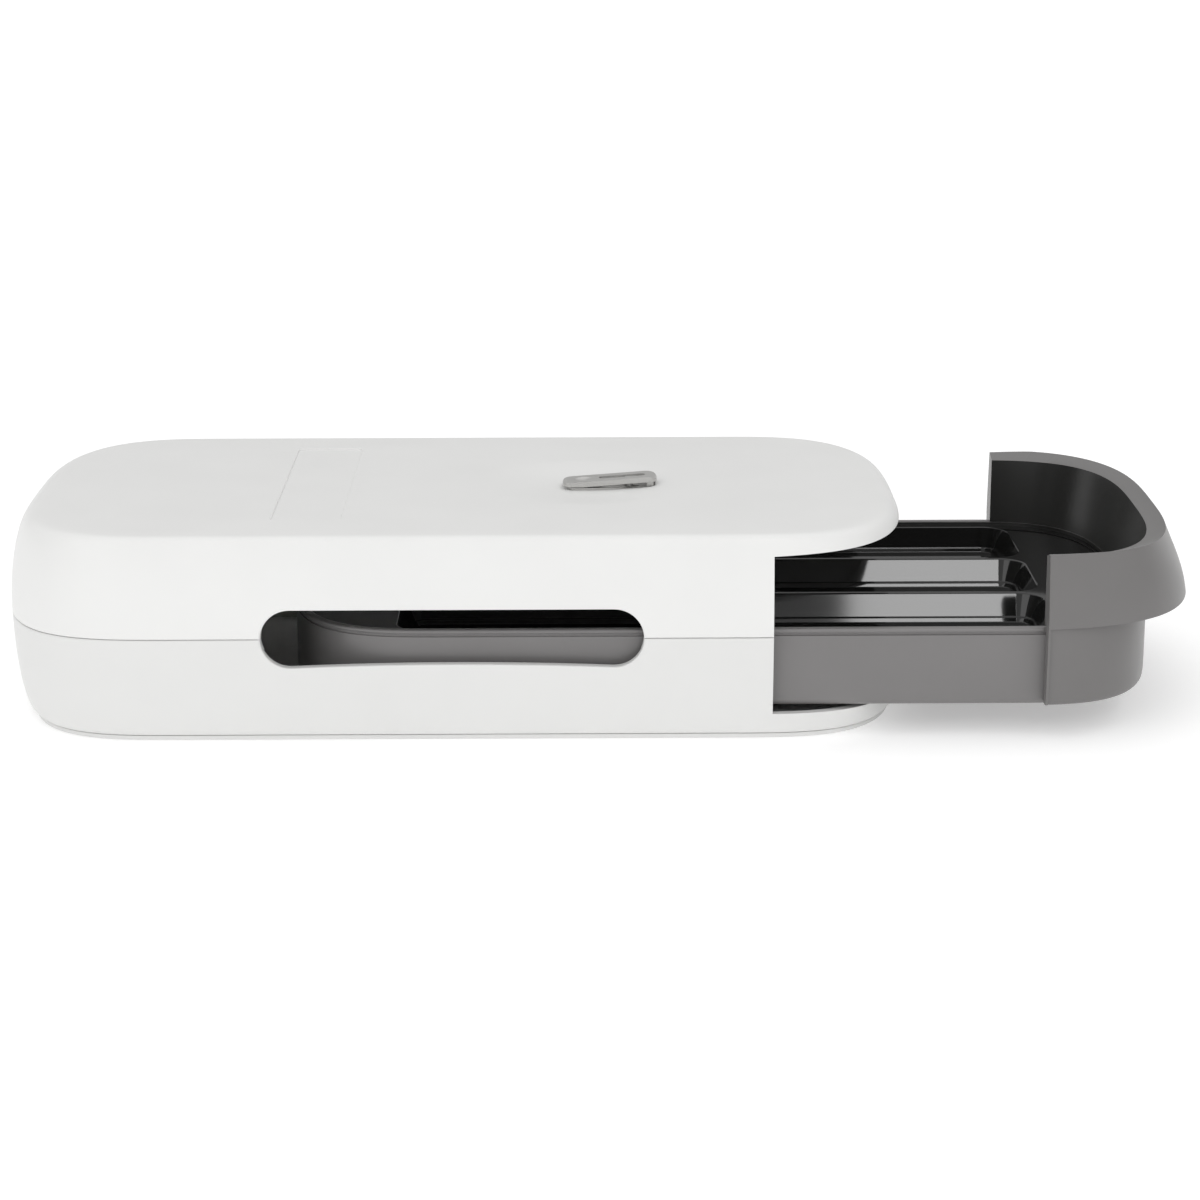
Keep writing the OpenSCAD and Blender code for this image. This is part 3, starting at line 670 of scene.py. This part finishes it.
def drawer_front():
    band = loft("band", shell_rings(softened(BAND_LEVELS, 2)))
    combine(band, [front_cut(FRONT_LOW, 0, LIP_Z + 3, 0)], "INTERSECT")
    lip = loft("lip", shell_rings(softened(LIP_LEVELS, 2)))
    combine(lip, [front_cut(LIP_Z, 2.2, FRONT_TOP, MOUTH_RISE)], "INTERSECT")
    groove = prism("groove", outline(HALF_L + 0.7, HALF_W - 14), LIP_Z - 5, LIP_Z + 13)
    core = prism("core", outline(HALF_L - 5.1, HALF_W - 2), LIP_Z - 6, LIP_Z + 16)
    side = block("side", (-FAR, -FAR, 0), (MOUTH_X + 22, FAR, CASE_H))
    combine(groove, [core, side])
    combine(lip, [groove])
    rib = loft("rib", shell_rings([(z, e, s - RIB) for z, e, s in BAND_LEVELS]))
    combine(rib, [block("rib_place", (MOUTH_X + FRONT_GAP, -FAR, FRONT_LOW),
                        (MOUTH_X + FRONT_GAP + 0.8, FAR, LIP_Z + 0.3))],
            "INTERSECT")
    combine(band, [lip, rib], "UNION")
    tub_space = prism("tub_space", outline(TUB_RIGHT + 0.2, TUB_B + 0.25, TUB_LEFT), 0, TUB_HIGH + 0.05)
    inner = loft("inner", shell_rings(LIP_INSIDE))
    slope = loft("slope", shell_rings([(FRONT_TOP - 1.6, 8.4, 9.3), (FRONT_TOP + 3.2, -9.1, -4)]))
    screws = [along_x("screw", 1.2, TUB_RIGHT - 8, TUB_RIGHT + 1.4, y, z) for y, z in FRONT_SCREWS]
    combine(band, [tub_space, inner, slope, *screws])
    shifted(band, DRAWER_OUT)
    # The inner walls of the lip get the near-black material: painted shade.
    return finish_piece(band, "drawer", ["drawer_front"], grey_satin,
                        inside=(inner_wall_painted_shade, lambda c, n: c.z > LIP_Z - 1.2 and faces_inwards(c, n)))


# ---------------------------------------------------------------- lever
LEVER_W = lever_high[1] - lever_low[1]
FREE_X = lever_low[0]
LEAF_Z = HINGE_Z - 1.65
LINK_Z = LEAF_Z + 2.0
EAR_Y = 3.2
EAR_T = 0.9
THUMB_R = 6.5


def lever():
    side = softened([(FREE_X + 7, LEAF_Z + 0.35), (FREE_X, LEAF_Z + 0.35), (FREE_X + 0.15, LEAF_Z + 1.3),
                     (FREE_X + 1.4, LEAF_Z + 1.8), (FREE_X + 4, LEAF_Z + 1.95), (HINGE_X - 5, LEAF_Z + 3.45),
                     (HINGE_X - 1, LEAF_Z + 3.8), (HINGE_X + 1.6, LEAF_Z + 3.5),
                     (HINGE_X + 2.5, LEAF_Z + 2.5),
                     (HINGE_X + 2.2, LEAF_Z + 2.0), (HINGE_X - 2, LEAF_Z + 2.0)], 2)[::-1]
    arm = across("lever_skin", side, -LEVER_W, LEVER_W)
    mid = (lever_low[0] + lever_high[0]) / 2
    length = lever_high[0] - lever_low[0]
    plan = rounded_rect(length, LEVER_W, 3.2, mid, 0, 10)
    combine(arm, [prism("plan", plan, LEAF_Z - 3, LEAF_Z + 9)], "INTERSECT")
    rounded(arm, 0.45, 4, 35)
    hollow = [(FREE_X + 11, LEAF_Z - 2), (HINGE_X + 1.5, LEAF_Z - 2), (HINGE_X + 1.5, LEAF_Z + 2.0),
              (HINGE_X + 0.9, LEAF_Z + 2.6), (HINGE_X - 0.6, LEAF_Z + 2.85), (HINGE_X - 5, LEAF_Z + 2.55),
              (FREE_X + 11, LEAF_Z + 1.6)]
    half = EAR_Y + EAR_T / 2 + 0.4
    combine(arm, [across("hollow", hollow, -half, half)])
    knuckle_half = EAR_Y - EAR_T / 2 - 0.15
    knuckle = turned_y(prism("knuckle", circle(1.2, HINGE_X, HINGE_Z, 40), -knuckle_half, knuckle_half))
    neck = across("neck", [(HINGE_X - 1.2, HINGE_Z), (HINGE_X + 1.2, HINGE_Z), (HINGE_X + 1.7, LEAF_Z + 2.9),
                           (HINGE_X - 1.2, LEAF_Z + 3.3)], -knuckle_half, knuckle_half)
    combine(arm, [knuckle, neck], "UNION")
    slot = prism("slot", rounded_rect(15.6, 3.0, 1.45, mid + 4.2, 0, 8), LEAF_Z - 2, LEAF_Z + 9)
    dent_rings = []
    for a in np.linspace(-89, 0, 60):
        r = THUMB_R * math.cos(math.radians(a))
        dent_rings.append(at_z(circle(r, FREE_X + 6.6), LEAF_Z + 8 + THUMB_R * math.sin(math.radians(a))))
    dent = loft("dent", dent_rings)
    pins = [turned_y(prism("pin", circle(0.65, HINGE_X, HINGE_Z, 32), -9, 9)),
            turned_y(prism("link", circle(0.52, PLUNGER_X, LINK_Z, 32), -9, 9))]
    combine(arm, [slot, dent, *pins])
    return finish_piece(arm, "lever", ["lever"], lever_metal, 38.0)


# ---------------------------------------------------------------- return spring, shortened by the stop
SPRING_TURNS = 6
SPRING_STEPS = 26
WIRE_R = 0.25
WIRE_SIDES = 10


def return_spring():
    low, high = box_mm("plunger_spring")
    coil_r = (high[1] - low[1]) / 2 - WIRE_R
    z0, z1 = low[2] + WIRE_R, high[2] - WIRE_R
    count = SPRING_TURNS * SPRING_STEPS
    rings = []
    for k in range(count + 1):
        t = 2 * math.pi * k / SPRING_STEPS
        q = np.arange(WIRE_SIDES) * 2 * math.pi / WIRE_SIDES
        reach = coil_r + WIRE_R * np.cos(q)
        rings.append(np.stack([PLUNGER_X + reach * math.cos(t), reach * math.sin(t),
                               z0 + (z1 - z0) * k / count + WIRE_R * np.sin(q)], 1))
    coil = loft("return_spring", rings)
    finish_piece(coil, "case", ["plunger_spring"], spring_steel, 60.0)
    coil.modifiers.clear()
    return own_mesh(coil)


# ---------------------------------------------------------------- CAD nodes that stay as they are
def keep_nodes():
    looks = {"base_pads": rubber, "base_screws": steel, "glide_strip_front": slippery,
             "glide_strip_rear": slippery,
             "rear_bumpers": rubber, "detent_spring": spring_steel, "detent_screw": steel,
             "lever_base": lever_metal, "lever_rivets": lever_metal, "hinge_pin": lever_metal,
             "plunger_bush": slippery,
             "front_screws": steel, "cross_pin": lever_metal, "plunger": lever_metal,
             "spring_clip": spring_steel}
    for node, material in looks.items():
        obj = frame["nodes"][node]
        obj.data.materials.clear()
        obj.data.materials.append(material)


# ---------------------------------------------------------------- studio
FLOOR_GLOW_NEAR = 0.33
FLOOR_GLOW_FAR = 0.50
SKY_GAIN = 1.25
HAZE_LOW, HAZE_HIGH = 0.05, 0.12
SKY_LEFT, SKY_MIDDLE, SKY_RIGHT = 0.10, 0.94, 0.12
SKY_FRONT, SKY_ABOVE, SKY_BACK = 0.44, 1.0, 0.10


def floor():
    """Pale floor that glows a little more further away, so that it stays an even white behind the object."""
    size = 6.0
    ground = new_object("floor", [(-size, -size, 0), (size, -size, 0), (size, size, 0), (-size, size, 0)],
                        [(0, 1, 2, 3)])
    mat = bpy.data.materials.new("pale_floor")
    mat.use_nodes = True
    tree = mat.node_tree
    shader = tree.nodes["Principled BSDF"]
    shader.inputs["Base Color"].default_value = (0.84, 0.84, 0.84, 1)
    shader.inputs["Roughness"].default_value = 0.9
    shader.inputs["Emission Color"].default_value = (1, 1, 1, 1)
    place = tree.nodes.new("ShaderNodeTexCoord")
    reach = tree.nodes.new("ShaderNodeVectorMath")
    reach.operation = "LENGTH"
    tree.links.new(place.outputs["Object"], reach.inputs[0])
    glow = tree.nodes.new("ShaderNodeMapRange")
    glow.inputs["From Min"].default_value = 0.35
    glow.inputs["From Max"].default_value = 1.2
    glow.inputs["To Min"].default_value = FLOOR_GLOW_NEAR
    glow.inputs["To Max"].default_value = FLOOR_GLOW_FAR
    tree.links.new(reach.outputs["Value"], glow.inputs["Value"])
    tree.links.new(glow.outputs["Result"], shader.inputs["Emission Strength"])
    ground.data.materials.append(mat)


def softbox(name, place, target, size, radiance):
    lamp = bpy.data.lights.new(name, "AREA")
    lamp.shape = "RECTANGLE"
    lamp.size, lamp.size_y = size
    lamp.energy = radiance * math.pi * size[0] * size[1]
    obj = bpy.data.objects.new(name, lamp)
    obj.location = place
    obj.rotation_euler = (Vector(target) - Vector(place)).to_track_quat("-Z", "Y").to_euler()
    bpy.context.scene.collection.objects.link(obj)
    return obj


def fade(tree, value, low, middle, high):
    """Brightness along one axis of the sky, from its -1 side over the middle to its +1 side."""
    half = tree.nodes.new("ShaderNodeMapRange")
    half.inputs["From Min"].default_value = -1.0
    half.inputs["From Max"].default_value = 1.0
    tree.links.new(value, half.inputs["Value"])
    ramp = tree.nodes.new("ShaderNodeFloatCurve")
    curve = ramp.mapping.curves[0]
    curve.points[0].location = (0.0, low)
    curve.points[1].location = (1.0, high)
    curve.points.new(0.5, middle)
    ramp.mapping.update()
    tree.links.new(half.outputs["Result"], ramp.inputs["Value"])
    return ramp.outputs["Value"]


def world():
    """White surroundings, dimmer at both sides and behind, with a white band along the horizon."""
    sky = bpy.data.worlds.new("studio")
    sky.use_nodes = True
    tree = sky.node_tree
    fill = tree.nodes["Background"]
    fill.inputs["Color"].default_value = (1, 1, 1, 1)
    place = tree.nodes.new("ShaderNodeTexCoord")
    split = tree.nodes.new("ShaderNodeSeparateXYZ")
    tree.links.new(place.outputs["Generated"], split.inputs["Vector"])
    both = tree.nodes.new("ShaderNodeMath")
    both.operation = "MULTIPLY"
    tree.links.new(fade(tree, split.outputs["X"], SKY_LEFT, SKY_MIDDLE, SKY_RIGHT), both.inputs[0])
    tree.links.new(fade(tree, split.outputs["Y"], SKY_FRONT, SKY_ABOVE, SKY_BACK), both.inputs[1])
    gain = tree.nodes.new("ShaderNodeMath")
    gain.operation = "MULTIPLY"
    gain.inputs[1].default_value = SKY_GAIN
    tree.links.new(both.outputs["Value"], gain.inputs[0])
    height = tree.nodes.new("ShaderNodeMapRange")
    height.interpolation_type = "SMOOTHSTEP"
    height.inputs["From Min"].default_value = HAZE_LOW
    height.inputs["From Max"].default_value = HAZE_HIGH
    tree.links.new(split.outputs["Z"], height.inputs["Value"])
    blend = tree.nodes.new("ShaderNodeMix")
    blend.inputs["A"].default_value = 1.0
    tree.links.new(height.outputs["Result"], blend.inputs["Factor"])
    tree.links.new(gain.outputs["Value"], blend.inputs["B"])
    tree.links.new(blend.outputs["Result"], fill.inputs["Strength"])
    bpy.context.scene.world = sky


CAMERA_LENS = 89.5
CAMERA_PLACE = (0.0413, -0.9854, 0.3037)
CAMERA_TURN = (15.724, -0.28, -0.16)  # pitch down, yaw and roll in degrees


def camera():
    """Camera low in front of the case, slightly right of its middle."""
    cam = bpy.data.cameras.new("camera")
    cam.sensor_width = 36.0
    cam.lens = CAMERA_LENS
    cam.clip_start, cam.clip_end = 0.05, 60.0
    obj = bpy.data.objects.new("camera", cam)
    pitch, yaw, roll = (math.radians(a) for a in CAMERA_TURN)
    turn = (Matrix.Rotation(yaw, 4, "Z") @ Matrix.Rotation(math.pi / 2 - pitch, 4, "X")
            @ Matrix.Rotation(roll, 4, "Z"))
    obj.matrix_world = Matrix.Translation(CAMERA_PLACE) @ turn
    bpy.context.scene.collection.objects.link(obj)
    bpy.context.scene.camera = obj


camera()
world()
floor()
softbox("key", (0.335, -1.2, 0.76), (0.335, 0, 0.03), (0.17, 0.32), 8.0)
softbox("left_front", (-0.85, -1.0, 0.82), (0.15, 0, 0.03), (1.1, 0.45), 1.0)
bpy.context.scene.view_settings.view_transform = "Standard"

keep_nodes()
top_shell()
bottom_shell()
base_plate()
drawer_tub()
lane_insert()
drawer_front()
lever()
return_spring()
